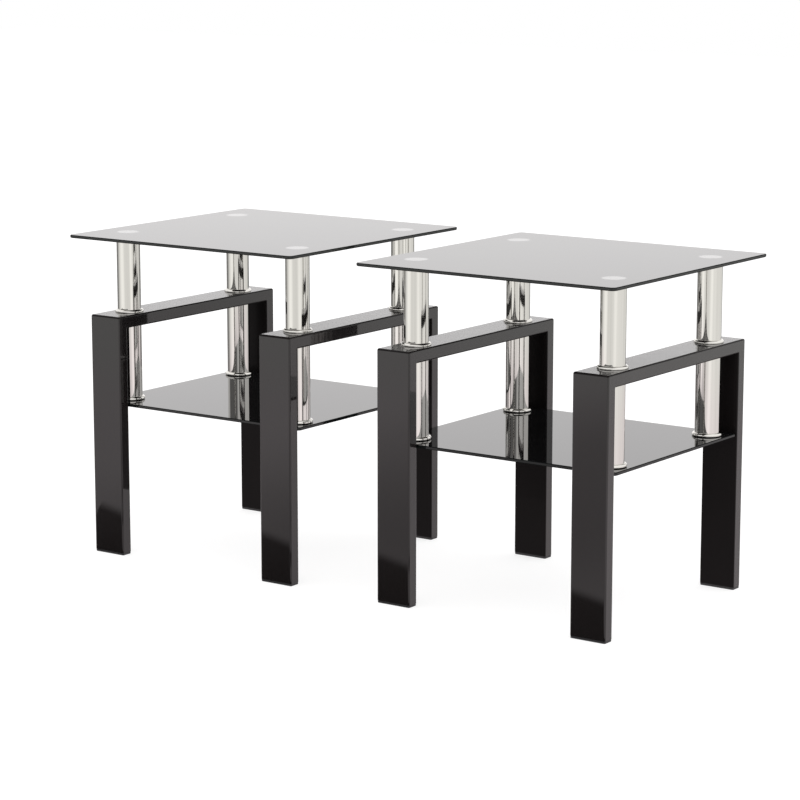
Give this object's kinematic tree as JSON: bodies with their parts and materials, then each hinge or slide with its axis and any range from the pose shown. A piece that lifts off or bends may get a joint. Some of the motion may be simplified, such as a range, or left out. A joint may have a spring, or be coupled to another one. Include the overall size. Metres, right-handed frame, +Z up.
{
  "type": "end table set",
  "caption": "Matching square end tables with a black glass top and shelf, round polished steel posts and U-shaped gloss black steel frames, free standing side by side.",
  "frame": {"origin": "on the floor, midway between the two tables", "axes": "+Z up, the front is towards -Y, and the tables stand side by side along X"},
  "size_m": [1.02, 0.45, 0.522],
  "materials": {
    "black_glass": "gloss, opaque black",
    "black_paint": "gloss black paint",
    "polished_steel": "polished stainless steel",
    "bonded_disc_steel": "satin turned steel",
    "zinc_steel": "bright zinc plate",
    "black_zinc_steel": "black zinc plate",
    "nylon": "natural moulded nylon",
    "soft_pad": "soft dark pad",
    "black_plastic": "fine moulded texture"
  },
  "bodies": {
    "right_table": {"right_table_top_glass": "black_glass", "right_table_shelf_glass": "black_glass", "right_table_left_crossbar": "black_paint", "right_table_left_front_leg": "black_paint", "right_table_left_back_leg": "black_paint", "right_table_right_crossbar": "black_paint", "right_table_right_front_leg": "black_paint", "right_table_right_back_leg": "black_paint", "right_table_foot_plugs": "black_plastic", "right_table_upper_post_front_left": "polished_steel", "right_table_upper_post_front_right": "polished_steel", "right_table_upper_post_back_left": "polished_steel", "right_table_upper_post_back_right": "polished_steel", "right_table_lower_post_front_left": "polished_steel", "right_table_lower_post_front_right": "polished_steel", "right_table_lower_post_back_left": "polished_steel", "right_table_lower_post_back_right": "polished_steel", "right_table_upper_collars": "polished_steel", "right_table_lower_collars": "polished_steel", "right_table_glass_discs": "bonded_disc_steel", "right_table_threaded_rods": "zinc_steel", "right_table_spacer_sleeves": "zinc_steel", "right_table_post_bushes": "nylon", "right_table_shelf_pads": "soft_pad", "right_table_shelf_washers": "nylon", "right_table_cap_nuts": "black_zinc_steel"},
    "left_table": {"left_table_top_glass": "black_glass", "left_table_shelf_glass": "black_glass", "left_table_left_crossbar": "black_paint", "left_table_left_front_leg": "black_paint", "left_table_left_back_leg": "black_paint", "left_table_right_crossbar": "black_paint", "left_table_right_front_leg": "black_paint", "left_table_right_back_leg": "black_paint", "left_table_foot_plugs": "black_plastic", "left_table_upper_post_front_left": "polished_steel", "left_table_upper_post_front_right": "polished_steel", "left_table_upper_post_back_left": "polished_steel", "left_table_upper_post_back_right": "polished_steel", "left_table_lower_post_front_left": "polished_steel", "left_table_lower_post_front_right": "polished_steel", "left_table_lower_post_back_left": "polished_steel", "left_table_lower_post_back_right": "polished_steel", "left_table_upper_collars": "polished_steel", "left_table_lower_collars": "polished_steel", "left_table_glass_discs": "bonded_disc_steel", "left_table_threaded_rods": "zinc_steel", "left_table_spacer_sleeves": "zinc_steel", "left_table_post_bushes": "nylon", "left_table_shelf_pads": "soft_pad", "left_table_shelf_washers": "nylon", "left_table_cap_nuts": "black_zinc_steel"}
  },
  "joints": [
    {"name": "left_table_slide", "type": "slide", "parent": "right_table", "child": "left_table", "axis": [1, 0, 0], "range_m": [-0.3, 0.115]}
  ]
}
